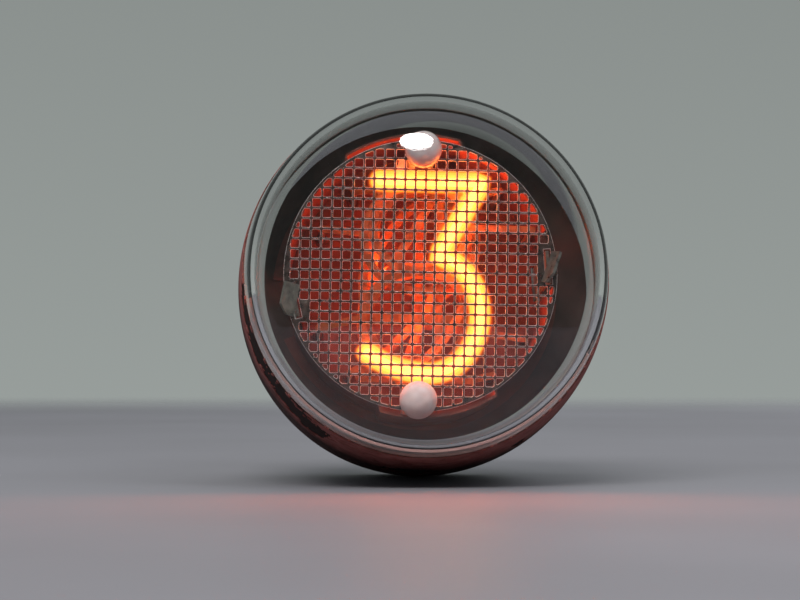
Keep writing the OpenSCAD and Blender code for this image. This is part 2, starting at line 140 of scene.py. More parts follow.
BELLY_C = Vector((BULB_R - SIDE_CURVE_R, BELLY_H))
WINDOW_C = Vector((0, CROWN_H - WINDOW_CURVE_R))
SHOULDER_C = upper_crossing(BELLY_C, SIDE_CURVE_R - SHOULDER_R, WINDOW_C, WINDOW_CURVE_R - SHOULDER_R)
HEEL_C = Vector((BELLY_C.x + math.sqrt((SIDE_CURVE_R - HEEL_R) ** 2 - (BELLY_H - HEEL_R) ** 2), HEEL_R))


def side_radius(h, out=0.0):
    """Radius of the bulb's side at a height, moved out by a distance."""
    return BELLY_C.x + math.sqrt((SIDE_CURVE_R + out) ** 2 - (h - BELLY_H) ** 2)


def bulb_outline(inset):
    """(radius, height) from the seat to the crown of the window, moved in by a distance."""
    heel_end = heading(BELLY_C, HEEL_C)
    side_end = heading(BELLY_C, SHOULDER_C)
    window_start = heading(WINDOW_C, SHOULDER_C)
    outline = arc(HEEL_C, HEEL_R - inset, -math.pi / 2, heel_end, 10)
    outline += arc(BELLY_C, SIDE_CURVE_R - inset, heel_end, side_end, 28)[1:]
    outline += arc(SHOULDER_C, SHOULDER_R - inset, side_end, window_start, 14)[1:]
    outline += arc(WINDOW_C, WINDOW_CURVE_R - inset, window_start, math.pi / 2, 30)[1:]
    return outline


def three_path(steps_per_mm=3.0):
    """The middle line of the numeral 3's stroke as one path, about the numeral's middle.

    It is drawn in shares of the numeral's half width and half height, then brought to size.
    """
    bowl_x, bowl_r = 0.18, 0.615
    path = [Vector((-0.73, 1)), Vector((1.05, 1))]
    path += oval_arc((bowl_x, bowl_r - 1), 0.89, bowl_r, 81, -90, 30)
    path += oval_arc((bowl_x, 0.1), 1.87, 1.1, -90, -125, 10)[1:]
    path = [Vector((p.x * NUMERAL_HALF_W, p.y * NUMERAL_HALF_H)) for p in path]
    even = [path[0]]
    for a, b in zip(path, path[1:]):
        steps = max(1, round((b - a).length * steps_per_mm))
        even += [a.lerp(b, i / steps) for i in range(1, steps + 1)]
    return even


THREE = three_path()
THREE_COARSE = three_path(0.8)


# ---------------------------------------------------------------- mesh helpers

def place(x, z, h):
    return Vector((x, -h, z)) * MM


def system_place(x, z, h):
    return place(x + SYSTEM_X, z + SYSTEM_Z, h)


def make_object(name, verts, faces, material, replaced=()):
    """A piece from vertices and faces."""
    mesh = bpy.data.meshes.new(name)
    mesh.from_pydata([tuple(v) for v in verts], [], faces)
    return finish_object(name, mesh, material, replaced)


def finish_object(name, mesh, material, replaced=()):
    """A smooth piece that rides on the tube, has its slot, and stands for the CAD nodes it replaces."""
    b = bmesh.new()
    b.from_mesh(mesh)
    bmesh.ops.recalc_face_normals(b, faces=b.faces)
    b.to_mesh(mesh)
    b.free()
    mesh.polygons.foreach_set("use_smooth", [True] * len(mesh.polygons))
    mesh.materials.clear()
    mesh.materials.append(material)
    obj = bpy.data.objects.new(name, mesh)
    bpy.context.scene.collection.objects.link(obj)
    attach(obj, "root")
    if replaced:
        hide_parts(*replaced)
    return obj


def lathe(outline, around, to_place):
    """Vertices and faces of an outline turned about its own axis. A closed outline ends where it starts."""
    verts, faces, rows = [], [], []
    closed = (outline[0] - outline[-1]).length < 1e-6
    for p in outline[:-1] if closed else outline:
        if p.x < 1e-6:
            rows.append([len(verts)] * around)
            verts.append(to_place(0, 0, p.y))
            continue
        rows.append(list(range(len(verts), len(verts) + around)))
        for i in range(around):
            x, z = polar(p.x, 2 * math.pi * i / around)
            verts.append(to_place(x, z, p.y))
    pairs = list(zip(rows, rows[1:])) + ([(rows[-1], rows[0])] if closed else [])
    for low, high in pairs:
        for i in range(around):
            j = (i + 1) % around
            corners = list(dict.fromkeys([low[i], low[j], high[j], high[i]]))
            if len(corners) > 2:
                faces.append(corners)
    return verts, faces


# ---------------------------------------------------------------- materials

def new_material(name):
    material = bpy.data.materials.new(name)
    material.use_nodes = True
    tree = material.node_tree
    return material, tree, tree.nodes["Principled BSDF"]


def add(tree, kind, **values):
    """A new node with its settings and the defaults of its sockets."""
    node = tree.nodes.new(kind)
    for key, value in values.items():
        if key in node.inputs:
            node.inputs[key].default_value = value
        else:
            setattr(node, key, value)
    return node


def object_noise(tree, per_mm, detail=4.0, stretch=(1, 1, 1), distortion=0.0):
    """Noise with about that many lumps in a millimetre, fixed to the object."""
    place_node = add(tree, "ShaderNodeTexCoord")
    mapping = add(tree, "ShaderNodeMapping")
    mapping.inputs["Scale"].default_value = stretch
    noise_node = add(tree, "ShaderNodeTexNoise", Scale=per_mm / MM, Detail=detail, Distortion=distortion)
    tree.links.new(place_node.outputs["Object"], mapping.inputs["Vector"])
    tree.links.new(mapping.outputs["Vector"], noise_node.inputs["Vector"])
    return noise_node.outputs["Fac"]


def object_axis(tree, axis):
    """One coordinate of the place on the object, in metres."""
    place_node = add(tree, "ShaderNodeTexCoord")
    split = add(tree, "ShaderNodeSeparateXYZ")
    tree.links.new(place_node.outputs["Object"], split.inputs["Vector"])
    return split.outputs[axis]


def share_between(tree, source, start, end, low=0.0, high=1.0, curve="LINEAR"):
    """Goes from low to high while the source goes from start to end."""
    node = add(tree, "ShaderNodeMapRange", interpolation_type=curve)
    for name, value in (("From Min", start), ("From Max", end), ("To Min", low), ("To Max", high)):
        node.inputs[name].default_value = value
    tree.links.new(source, node.inputs["Value"])
    return node.outputs["Result"]


def math_node(tree, operation, source, number, added=None):
    node = add(tree, "ShaderNodeMath", operation=operation)
    tree.links.new(source, node.inputs[0])
    node.inputs[1].default_value = number
    if added:
        tree.links.new(added, node.inputs[2])
    return node.outputs["Value"]


def colour_mix(tree, share, first, second):
    """The first colour where the share is 0 and the second where it is 1."""
    node = add(tree, "ShaderNodeMix", data_type="RGBA")
    tree.links.new(share, node.inputs[0])
    tree.links.new(first, node.inputs[6])
    if isinstance(second, tuple):
        node.inputs[7].default_value = (*second, 1)
    else:
        tree.links.new(second, node.inputs[7])
    return node.outputs[2]


def ramp(tree, source, low, high, start=0.35, end=0.65):
    """Goes from the low colour to the high one while the source goes from start to end."""
    node = add(tree, "ShaderNodeValToRGB")
    node.color_ramp.elements[0].position = start
    node.color_ramp.elements[1].position = end
    node.color_ramp.elements[0].color = (*low, 1)
    node.color_ramp.elements[1].color = (*high, 1)
    tree.links.new(source, node.inputs["Fac"])
    return node.outputs["Color"]


def spread(tree, source, low, high):
    """Noise spread over a range of values."""
    return share_between(tree, source, 0.3, 0.7, low, high)


def bump(tree, source, depth_mm, shader, strength=0.6):
    node = add(tree, "ShaderNodeBump", Strength=strength, Distance=depth_mm * MM)
    tree.links.new(source, node.inputs["Height"])
    tree.links.new(node.outputs["Normal"], shader.inputs["Normal"])


def grained(name, low, high, per_mm=2.0, rough=(0.3, 0.5), metallic=0.0, depth_mm=0.01, fine_per_mm=14.0,
            stretch=(1, 1, 1)):
    """A surface whose colour and gloss vary in patches, with a fine grain that stands up from it."""
    material, tree, shader = new_material(name)
    patches = object_noise(tree, per_mm, 5.0, stretch, 0.3)
    tree.links.new(ramp(tree, patches, low, high), shader.inputs["Base Color"])
    tree.links.new(spread(tree, patches, *rough), shader.inputs["Roughness"])
    shader.inputs["Metallic"].default_value = metallic
    bump(tree, object_noise(tree, fine_per_mm, 3.0, stretch), depth_mm, shader)
    return material


def pass_shadows(material, tree, shader, tint=(1, 1, 1)):
    """Lets lamps and glowing parts shine through a clear surface instead of being blocked by it."""
    light = add(tree, "ShaderNodeLightPath")
    clear = add(tree, "ShaderNodeBsdfTransparent", Color=(*tint, 1))
    mix = add(tree, "ShaderNodeMixShader")
    out = tree.nodes["Material Output"]
    tree.links.new(light.outputs["Is Shadow Ray"], mix.inputs["Fac"])
    tree.links.new(shader.outputs["BSDF"], mix.inputs[1])
    tree.links.new(clear.outputs["BSDF"], mix.inputs[2])
    tree.links.new(mix.outputs["Shader"], out.inputs["Surface"])


def clear_glass(name, tint, per_mm, depth_mm):
    """Blown or pressed glass with the slight waves that its making leaves."""
    material, tree, shader = new_material(name)
    shader.inputs["Base Color"].default_value = (*tint, 1)
    shader.inputs["Transmission Weight"].default_value = 1
    shader.inputs["IOR"].default_value = 1.5
    waves = object_noise(tree, per_mm, 2.0)
    tree.links.new(spread(tree, waves, 0.0, 0.03), shader.inputs["Roughness"])
    bump(tree, waves, depth_mm, shader, 0.25)
    pass_shadows(material, tree, shader, tint)
    return material


def lacquer_material():
    """Red-brown lacquer, pinker and dusty near its front edge and nearly black behind it."""
    material, tree, shader = new_material("lacquer")
    wavy = object_noise(tree, 0.9, 6.0, (1, 1, 1), 0.6)
    wavy_behind = object_noise(tree, 0.7, 6.0, (1, 1, 1), 0.6)
    front = ramp(tree, wavy, (0.18, 0.05, 0.042), (0.28, 0.095, 0.085))
    rear = ramp(tree, wavy_behind, (0.020, 0.006, 0.005), (0.055, 0.015, 0.013))
    uneven, start, end = 7 * MM, -21 * MM, -17 * MM
    blotch = math_node(tree, "MULTIPLY_ADD", object_noise(tree, 0.35, 5.0), uneven, object_axis(tree, "Y"))
    base = colour_mix(tree, share_between(tree, blotch, start, end), front, rear)
    dust = ramp(tree, object_noise(tree, 2.2, 6.0), (0, 0, 0), (0.5, 0.5, 0.5), 0.52, 0.8)
    tree.links.new(colour_mix(tree, dust, base, (0.22, 0.10, 0.09)), shader.inputs["Base Color"])
    tree.links.new(spread(tree, object_noise(tree, 3.0, 4.0), 0.6, 0.85), shader.inputs["Roughness"])
    shader.inputs["Specular IOR Level"].default_value = 0.08
    bump(tree, object_noise(tree, 7.0, 5.0), 0.01, shader, 0.5)
    return material


def primer_material():
    """The coating as the glass shows it from inside, with painted light in its colour: olive at the top where the
    lamps above fall, and pinker lower down where the red glow from inside falls.
    """
    material, tree, shader = new_material("primer")
    height = share_between(tree, object_axis(tree, "Z"), -BULB_R * MM, BULB_R * MM)
    patches = object_noise(tree, 1.5, 4.0)
    uneven = math_node(tree, "MULTIPLY_ADD", patches, 0.1, height)
    # painted light: olive towards the top for the lamps above, pinker towards the bottom for the red glow
    colour = ramp(tree, uneven, (0.30, 0.17, 0.16), (0.22, 0.19, 0.14), 0.2, 0.9)
    tree.links.new(colour, shader.inputs["Base Color"])
    tree.links.new(spread(tree, patches, 0.5, 0.7), shader.inputs["Roughness"])
    shader.inputs["Specular IOR Level"].default_value = 0.1
    return material


def glowing(name, colour, strength, alpha, per_mm=0.7):
    """Neon glow: a clear shell that adds light of its own, slightly uneven along the stroke."""
    material, tree, shader = new_material(name)
    shader.inputs["Base Color"].default_value = (0, 0, 0, 1)
    shader.inputs["Specular IOR Level"].default_value = 0
    shader.inputs["Roughness"].default_value = 1
    shader.inputs["Alpha"].default_value = alpha
    shader.inputs["Emission Color"].default_value = (*colour, 1)
    uneven = spread(tree, object_noise(tree, per_mm, 2.0), 0.9 * strength, 1.1 * strength)
    tree.links.new(uneven, shader.inputs["Emission Strength"])
    return material


def lit_cathode_material():
    """Bare sheet that the neon lights up, as far as its lugs."""
    material, tree, shader = new_material("lit_cathode")
    colour = ramp(tree, object_noise(tree, 1.5, 3.0), (1.0, 0.50, 0.07), (1.0, 0.58, 0.085))
    shader.inputs["Base Color"].default_value = (0.5, 0.3, 0.2, 1)
    tree.links.new(colour, shader.inputs["Emission Color"])
    height = math_node(tree, "SUBTRACT", object_axis(tree, "Z"), SYSTEM_Z * MM)
    from_middle = math_node(tree, "ABSOLUTE", height, 0)
    fade_start, fade_end = (NUMERAL_HALF_H + 0.3) * MM, (NUMERAL_HALF_H + 0.5) * MM
    strength = share_between(tree, from_middle, fade_start, fade_end, CORE_STRENGTH, 0)
    tree.links.new(strength, shader.inputs["Emission Strength"])
    return material


def mesh_material():
    """Dark etched metal with a painted highlight on the edges of its bars, and a painted red glow on the bars
    that lie in front of the lit stroke.
    """
    material, tree, shader = new_material("mesh_metal")
    patches = object_noise(tree, 1.6, 4.0)
    flat = ramp(tree, patches, (0.045, 0.028, 0.024), (0.10, 0.07, 0.062))
    # painted highlight: the bars' rounded edges get a pale colour in place of the light that they would catch
    painted_highlight = ramp(tree, patches, (0.78, 0.66, 0.65), (0.98, 0.86, 0.86))
    edge = add(tree, "ShaderNodeAttribute", attribute_name="painted_highlight_share")
    tree.links.new(colour_mix(tree, edge.outputs["Fac"], flat, painted_highlight), shader.inputs["Base Color"])
    tree.links.new(spread(tree, patches, 0.22, 0.38), shader.inputs["Roughness"])
    shader.inputs["Metallic"].default_value = 0.7
    bump(tree, object_noise(tree, 22.0, 3.0), 0.006, shader)
    # painted glow: the bars near the lit stroke give off red light of their own
    near = add(tree, "ShaderNodeAttribute", attribute_name="painted_glow_near_stroke")
    shader.inputs["Emission Color"].default_value = (1.0, 0.085, 0.012, 1)
    painted_glow = math_node(tree, "MULTIPLY", near.outputs["Fac"], PAINTED_MESH_GLOW)
    tree.links.new(painted_glow, shader.inputs["Emission Strength"])
    return material


def ceramic(name, rough, low=(0.80, 0.78, 0.77), high=(0.90, 0.89, 0.88), glaze=0):
    """Fired ceramic that light enters a little way, under a glaze if it has one."""
    material, tree, shader = new_material(name)
    patches = object_noise(tree, 1.2, 4.0)
    tree.links.new(ramp(tree, patches, low, high), shader.inputs["Base Color"])
    tree.links.new(spread(tree, patches, rough, rough + 0.12), shader.inputs["Roughness"])
    shader.inputs["Subsurface Weight"].default_value = 0.6
    shader.inputs["Subsurface Radius"].default_value = (1, 0.8, 0.7)
    shader.inputs["Subsurface Scale"].default_value = 0.6 * MM
    if glaze:
        shader.inputs["Coat Weight"].default_value = glaze
        shader.inputs["Coat IOR"].default_value = 1.8
    bump(tree, object_noise(tree, 16.0, 3.0), 0.004, shader, 0.3)
    return material


def mica_material():
    """Mica with a painted red glow in its colour inside the shield, and dark outside it, but browner at the top.
    """
    material, tree, shader = new_material("mica")
    flakes = object_noise(tree, 0.25, 4.0, (1, 1, 1), 0.8)
    # painted red glow: the light of the lit numeral painted into the mica inside the shield
    painted_red_glow = ramp(tree, flakes, (0.10, 0.024, 0.014), (0.19, 0.05, 0.032))
    low = ramp(tree, flakes, (0.025, 0.012, 0.010), (0.06, 0.032, 0.028))
    high = ramp(tree, flakes, (0.09, 0.045, 0.032), (0.20, 0.115, 0.085))
    height = share_between(tree, object_axis(tree, "Z"), 3 * MM, 12 * MM, curve="SMOOTHSTEP")
    outside = colour_mix(tree, height, low, high)
    place_node = add(tree, "ShaderNodeTexCoord")
    flat = add(tree, "ShaderNodeMapping")
    flat.inputs["Scale"].default_value = (1, 0, 1)
    from_axis = add(tree, "ShaderNodeVectorMath", operation="LENGTH")
    tree.links.new(place_node.outputs["Object"], flat.inputs["Vector"])
    tree.links.new(flat.outputs["Vector"], from_axis.inputs[0])
    share = share_between(tree, from_axis.outputs["Value"], (MESH_R - 0.6) * MM, (MESH_R + 0.6) * MM)
    tree.links.new(colour_mix(tree, share, painted_red_glow, outside), shader.inputs["Base Color"])
    tree.links.new(spread(tree, flakes, 0.35, 0.5), shader.inputs["Roughness"])
    shader.inputs["Specular IOR Level"].default_value = 0.35
    bump(tree, object_noise(tree, 1.5, 3.0), 0.003, shader, 0.3)
    return material


CORE_STRENGTH = 2.5
# Painted red glow on the mesh bars near the lit stroke: its strength, and its reach from the stroke's middle line
PAINTED_MESH_GLOW = 0.3
PAINTED_MESH_GLOW_HALF_W, PAINTED_MESH_GLOW_FADE = 0.75, 0.3  # from the stroke's middle line, in mm
NEON_LIGHT = (1, 0.13, 0.02)

BULB_GLASS = clear_glass("clear_glass", (0.985, 0.99, 0.985), 0.08, 0.006)
STEM_GLASS = clear_glass("stem_glass", (0.93, 0.965, 0.95), 0.5, 0.03)
LACQUER = lacquer_material()
UNDERCOAT = grained(
    "undercoat", (0.010, 0.004, 0.003), (0.030, 0.012, 0.010),
    rough=(0.7, 0.9), depth_mm=0.006, fine_per_mm=9.0,
)
UNDERCOAT.node_tree.nodes["Principled BSDF"].inputs["Specular IOR Level"].default_value = 0.1
PRIMER = primer_material()
MESH_METAL = mesh_material()
LIT = lit_cathode_material()
# The beads' white ceramic is given a darker, pinkish colour: painted red glow and painted shade from inside the
# tube
UPPER_CERAMIC = ceramic("bead_ceramic_glazed", 0.08, (0.44, 0.36, 0.36), (0.54, 0.46, 0.46), glaze=1)
LOWER_CERAMIC = ceramic("bead_ceramic_dull", 0.42, (0.50, 0.40, 0.40), (0.60, 0.50, 0.50))
METALS = {
    # slot: darkest colour, lightest colour, patches in a mm, gloss, metallic share, depth of the grain in mm
    # shield_metal: dark red, the shade inside the tube and the neon's red light painted into its colour
    "shield_metal": ((0.08, 0.018, 0.011), (0.14, 0.036, 0.024), 0.8, (0.45, 0.65), 0.1, 0.006),
    "strap_metal": ((0.13, 0.125, 0.11), (0.27, 0.27, 0.24), 1.5, (0.25, 0.4), 0.8, 0.006),
    "post_wire": ((0.36, 0.34, 0.33), (0.52, 0.50, 0.48), 1.5, (0.3, 0.45), 0.8, 0.003),
    "getter_metal": ((0.20, 0.19, 0.19), (0.45, 0.44, 0.43), 3.0, (0.3, 0.6), 1.0, 0.01),
    # cathode_metal: orange-brown, the lit numeral's red-orange light painted into the unlit numerals' colour, and
    # darkened as painted shade
    "cathode_metal": ((0.17, 0.055, 0.018), (0.34, 0.13, 0.05), 1.2, (0.4, 0.6), 0.25, 0.004),
    "lead_wire": ((0.10, 0.05, 0.04), (0.18, 0.10, 0.08), 2.5, (0.35, 0.5), 0.4, 0.004),
    "pin_metal": ((0.52, 0.51, 0.48), (0.74, 0.73, 0.70), 0.9, (0.3, 0.45), 0.75, 0.003),
}
SLOT_MATERIALS = {
    "stem_glass": STEM_GLASS,
    "lit_cathode": LIT,
    "mica": mica_material(),
    "white_ceramic": ceramic("spacer_ceramic", 0.5),
}
SLOT_MATERIALS.update({slot: grained(slot, *values) for slot, values in METALS.items()})


def dress_cad_nodes():
    """Gives every CAD node that stays the material of its slot."""
    for part in frame["record"]["subparts"]:
        material = SLOT_MATERIALS.get(part["material_slot"])
        node = frame["nodes"][part["node"]]
        if material and not node.hide_render:
            for entry in node.material_slots:
                entry.material = material


# ---------------------------------------------------------------- pieces

def make_bulb():
    """The blown glass, closed at its seat by the rounded heel."""
    outer = bulb_outline(0)
    inner = bulb_outline(GLASS_T)
    outline = outer + list(reversed(inner)) + [outer[0]]
    verts, faces = lathe(outline, 256, place)
    make_object("bulb", verts, faces, BULB_GLASS, ["glass_bulb"])


# Flaked patches of the lacquer: angle round the axis and its reach in degrees, height and its reach in mm
FLAKES = [
    (222, 17, 27.2, 2.9),
    (204, 13, 27.8, 2.4),
    (192, 9, 28.6, 1.6),
    (233, 6, 25.6, 3.2),
    (268, 8, 20.5, 2.2),
    (302, 2.2, 23.0, 1.5),
    (60, 5, 26.2, 0.9),
    (128, 3, 25.5, 0.9),
    (340, 3, 28.0, 0.8),
]
LOW_EDGE_ANGLE = 262
LOW_EDGE_H = LACQUER_FRONT_H - 0.12
TOP_EDGE_H = 27.2
EDGE_WAVE = 0.3
DENSE_ROWS_H = 14  # the skins have most of their rows above this height, where the flakes are


def front_edge(angle):
    """Height of the lacquer's front edge, which lies further back round the top."""
    low_side = math.cos(math.radians(angle - LOW_EDGE_ANGLE))
    share = max(0, min(1, (low_side + 0.15) / 0.5))
    return TOP_EDGE_H + (LOW_EDGE_H - TOP_EDGE_H) * share * share * (3 - 2 * share)


def flaked(angle, h):
    """True where the lacquer is gone."""
    x, z = polar(BULB_R, math.radians(angle))
    spot = Vector((x, z, h))
    if h > front_edge(angle) - EDGE_WAVE * abs(noise.noise(spot * 1.7)):
        return True
    rough = noise.fractal(spot * 0.9, 0.8, 2.1, 5)
    for at, reach, at_h, reach_h in FLAKES:
        turn = (angle - at + 180) % 360 - 180
        if (turn / reach) ** 2 + ((h - at_h) / reach_h) ** 2 < 1 + 0.9 * rough:
            return True
    return False


def make_skin(name, around, rows, low_out, high_out, gone, material, replaced=()):
    """A skin on the side of the bulb, between two distances out from the glass, open where it is gone."""
    coarse = rows // 8
    dense = rows - coarse
    heights = [LACQUER_REAR_H + (DENSE_ROWS_H - LACQUER_REAR_H) * i / coarse for i in range(coarse)]
    heights += [DENSE_ROWS_H + (LACQUER_FRONT_H - DENSE_ROWS_H) * i / dense for i in range(dense + 1)]
    b = bmesh.new()
    rings = []
    for h in heights:
        r = side_radius(h, high_out)
        rings.append([b.verts.new(place(*polar(r, 2 * math.pi * i / around), h)) for i in range(around)])
    for low_h, high_h, low, high in zip(heights, heights[1:], rings, rings[1:]):
        for i in range(around):
            if not gone(360 * (i + 0.5) / around, (low_h + high_h) / 2):
                j = (i + 1) % around
                b.faces.new([low[i], low[j], high[j], high[i]])
    bmesh.ops.delete(b, geom=[v for v in b.verts if not v.link_faces], context="VERTS")
    inner = {}
    for v in list(b.verts):
        radial = Vector((v.co.x, 0, v.co.z)).normalized()
        inner[v] = b.verts.new(v.co - radial * (high_out - low_out) * MM)
    for f in list(b.faces):
        b.faces.new([inner[v] for v in reversed(f.verts)])
    for e in [e for e in b.edges if len(e.link_faces) == 1 and e.verts[0] in inner and e.verts[1] in inner]:
        a, c = e.verts
        b.faces.new([a, c, inner[c], inner[a]])
    mesh = bpy.data.meshes.new(name)
    b.to_mesh(mesh)
    b.free()
    finish_object(name, mesh, material, replaced)


def past_edge(angle, h):
    """True in front of the lacquer's front edge, where the layers beneath it end."""
    return h > front_edge(angle) + 0.05


# Skins on the glass: faces round the axis, rows, and the distances out from the glass at which each lies
PRIMER_SKIN = 320, 48, -0.012, 0.006
UNDERCOAT_SKIN = 320, 48, 0.008, 0.02
LACQUER_SKIN = 640, 72, 0.024, LACQUER_T


def make_lacquer():
    """Primer on the glass, a dark undercoat, and over them the red-brown lacquer with its flaked patches."""
    make_skin("primer", *PRIMER_SKIN, past_edge, PRIMER)
    make_skin("undercoat", *UNDERCOAT_SKIN, past_edge, UNDERCOAT)
    make_skin("lacquer_skin", *LACQUER_SKIN, flaked, LACQUER, ["lacquer_coat"])


def opening_outline(x, z):
    """One opening of the mesh, inside the plain rim, with rounded corners. None where too little is left."""
    half = (MESH_PITCH - MESH_BAR) / 2 - OPENING_ROUND
    corners = [Vector((x + i * half, z + j * half)) for i, j in ((1, 1), (-1, 1), (-1, -1), (1, -1))]
    outward = Vector((x, z)).normalized()
    limit = MESH_R - MESH_RIM - OPENING_ROUND
    kept = []
    for a, b in zip(corners, corners[1:] + corners[:1]):
        room_a, room_b = limit - a.dot(outward), limit - b.dot(outward)
        if room_a > 0:
            kept.append(a)
        if room_a * room_b < 0:
            kept.append(a.lerp(b, room_a / (room_a - room_b)))
    kept = [p for p, before in zip(kept, kept[-1:] + kept[:-1]) if (p - before).length > CLOSE_CORNERS]
    if len(kept) < 3:
        return None
    points = []
    for before, p, after in zip(kept[-1:] + kept[:-1], kept, kept[1:] + kept[:1]):
        start = heading(before, p) - math.pi / 2
        turn = (heading(p, after) - math.pi / 2 - start) % (2 * math.pi)
        points += arc(p, OPENING_ROUND, start, start + turn, 3)
    return [p for p, before in zip(points, points[-1:] + points[:-1]) if (p - before).length > CLOSE_POINTS]


def clear_of_slots(p):
    """True where an opening would not run into a strap's slot."""
    half = (MESH_PITCH - MESH_BAR) / 2 + SLOT_MARGIN
    for turn in STRAP_TURNS:
        seen = Matrix.Rotation(-turn, 2) @ p
        if abs(seen.x - STRAP_MID_R) < SLOT_HALF_T + half and abs(seen.y) < SLOT_HALF_W + half:
            return False
    return True


def mesh_openings():
    """The outlines of all openings, which leave the pads round the rods and the straps' slots plain."""
    count = math.ceil(MESH_R / MESH_PITCH)
    for i in range(-count, count + 1):
        for j in range(-count, count + 1):
            x, z = i * MESH_PITCH + OPENING_X, j * MESH_PITCH + OPENING_Z
            off_rods = Vector((x, abs(z) - ROD_R)).length > ROD_PAD_R
            outline = opening_outline(x, z)
            if outline and off_rods and clear_of_slots(Vector((x, z))):
                yield outline


def make_eyelets():
    """Small collars that close the gaps round the leads where they pass the mica."""
    front_h = -box_mm("rear_mica")[0].y
    verts, faces = [], []
    inner, outer, t = EYELET_IN_R, EYELET_OUT_R, EYELET_T
    corners = [(inner, 0), (outer - 0.03, 0), (outer, 0.02)]
    corners += [(outer - 0.02, t - 0.02), (outer - 0.09, t), (inner, t)]
    outline = [Vector(p) for p in corners + corners[:1]]
    for n in range(10):
        low, high = box_mm(f"cathode_lead_{n}")
        x, z = (low.x + high.x) / 2, (low.z + high.z) / 2
        ring_verts, ring_faces = lathe(outline, 24, lambda dx, dz, h: place(x + dx, z + dz, front_h + h))
        faces += [[i + len(verts) for i in face] for face in ring_faces]
        verts += ring_verts
    make_object("eyelets", verts, faces, SLOT_MATERIALS["shield_metal"])


def distance_to_path(point, path):
    best = math.inf
    for a, b in zip(path, path[1:]):
        along = b - a
        t = max(0, min(1, (point - a).dot(along) / along.length_squared))
        best = min(best, (point - a - along * t).length)
    return best


def make_mesh_grid():
    """The etched mesh with softened bars, which carries where its painted edge highlight goes and how strong its
    painted glow is near the stroke.
    """
    curve = bpy.data.curves.new("anode_grid", "CURVE")
    curve.dimensions = "2D"
    curve.fill_mode = "BOTH"
    curve.extrude = MESH_T / 2 - BAR_ROUND
    curve.bevel_depth = BAR_ROUND
    curve.bevel_resolution = 1
    curve.offset = -BAR_ROUND
    outlines = [arc((0, 0), MESH_R, 0, 2 * math.pi, 240)[:-1]]
    outlines += [arc((0, side * ROD_R), ROD_D / 2, 0, 2 * math.pi, 20)[:-1] for side in (-1, 1)]
    for turn in STRAP_TURNS:
        corners = [(SLOT_HALF_T, SLOT_HALF_W), (-SLOT_HALF_T, SLOT_HALF_W)]
        corners += [(-x, -z) for x, z in corners]
        outlines.append([Matrix.Rotation(turn, 2) @ Vector((STRAP_MID_R + x, z)) for x, z in corners])
    outlines += list(mesh_openings())
    for outline in outlines:
        spline = curve.splines.new("POLY")
        spline.points.add(len(outline) - 1)
        for point, p in zip(spline.points, outline):
            point.co = (p.x, p.y, 0, 1)
        spline.use_cyclic_u = True
    maker = bpy.data.objects.new("anode_grid_maker", curve)
    bpy.context.scene.collection.objects.link(maker)
    bpy.context.view_layer.update()
    depsgraph = bpy.context.evaluated_depsgraph_get()
    mesh = bpy.data.meshes.new_from_object(maker.evaluated_get(depsgraph))
    bpy.data.objects.remove(maker)
    middle_h = MESH_REAR_H + MESH_T / 2
    # painted glow: how strongly each vertex glows red, by its distance from the lit stroke
    near = mesh.attributes.new("painted_glow_near_stroke", "FLOAT", "POINT")
    # painted highlight: how much of each vertex lies on the bars' rounded edges
    edge = mesh.attributes.new("painted_highlight_share", "FLOAT", "POINT")
    for v in mesh.vertices:
        gap = distance_to_path(Vector((v.co.x, v.co.y)), THREE_COARSE)
        near.data[v.index].value = math.exp(-max(0, gap - PAINTED_MESH_GLOW_HALF_W) / PAINTED_MESH_GLOW_FADE)
        edge.data[v.index].value = min(1, (MESH_T / 2 - abs(v.co.z)) / (0.3 * BAR_ROUND))
        v.co = system_place(v.co.x, v.co.y, middle_h + v.co.z)
    b = bmesh.new()
    b.from_mesh(mesh)
    bmesh.ops.remove_doubles(b, verts=b.verts, dist=0.0005 * MM)
    b.to_mesh(mesh)
    b.free()
    finish_object("anode_grid", mesh, MESH_METAL, ["anode_mesh"])


def make_bead(name, node, side, material):
    """A domed bead on the end of the upper rod (side 1) or the lower one (side -1)."""
    base_h = -box_mm(node)[1].y
    outline = bead_outline(BEAD_FOOT_H, BEAD_DOME_H, BEAD_R)
    verts, faces = lathe(outline, 64, lambda x, z, h: system_place(x, z + side * ROD_R, base_h + h))
    make_object(name, verts, faces, material, [node])


def bead_outline(foot_h, dome_h, radius):
    """A straight foot with a softened edge under a domed top."""
    edge = 0.12
    outline = [Vector((0, 0)), Vector((radius - edge, 0))]
    outline += arc((radius - edge, edge), edge, -math.pi / 2, 0, 4)[1:]
    outline += [Vector((radius, foot_h))]
    outline += [
        Vector((radius * math.cos(a), foot_h + dome_h * math.sin(a)))
        for a in (math.pi / 2 * i / 20 for i in range(1, 21))
    ]
    outline[-1].x = 0
    return outline


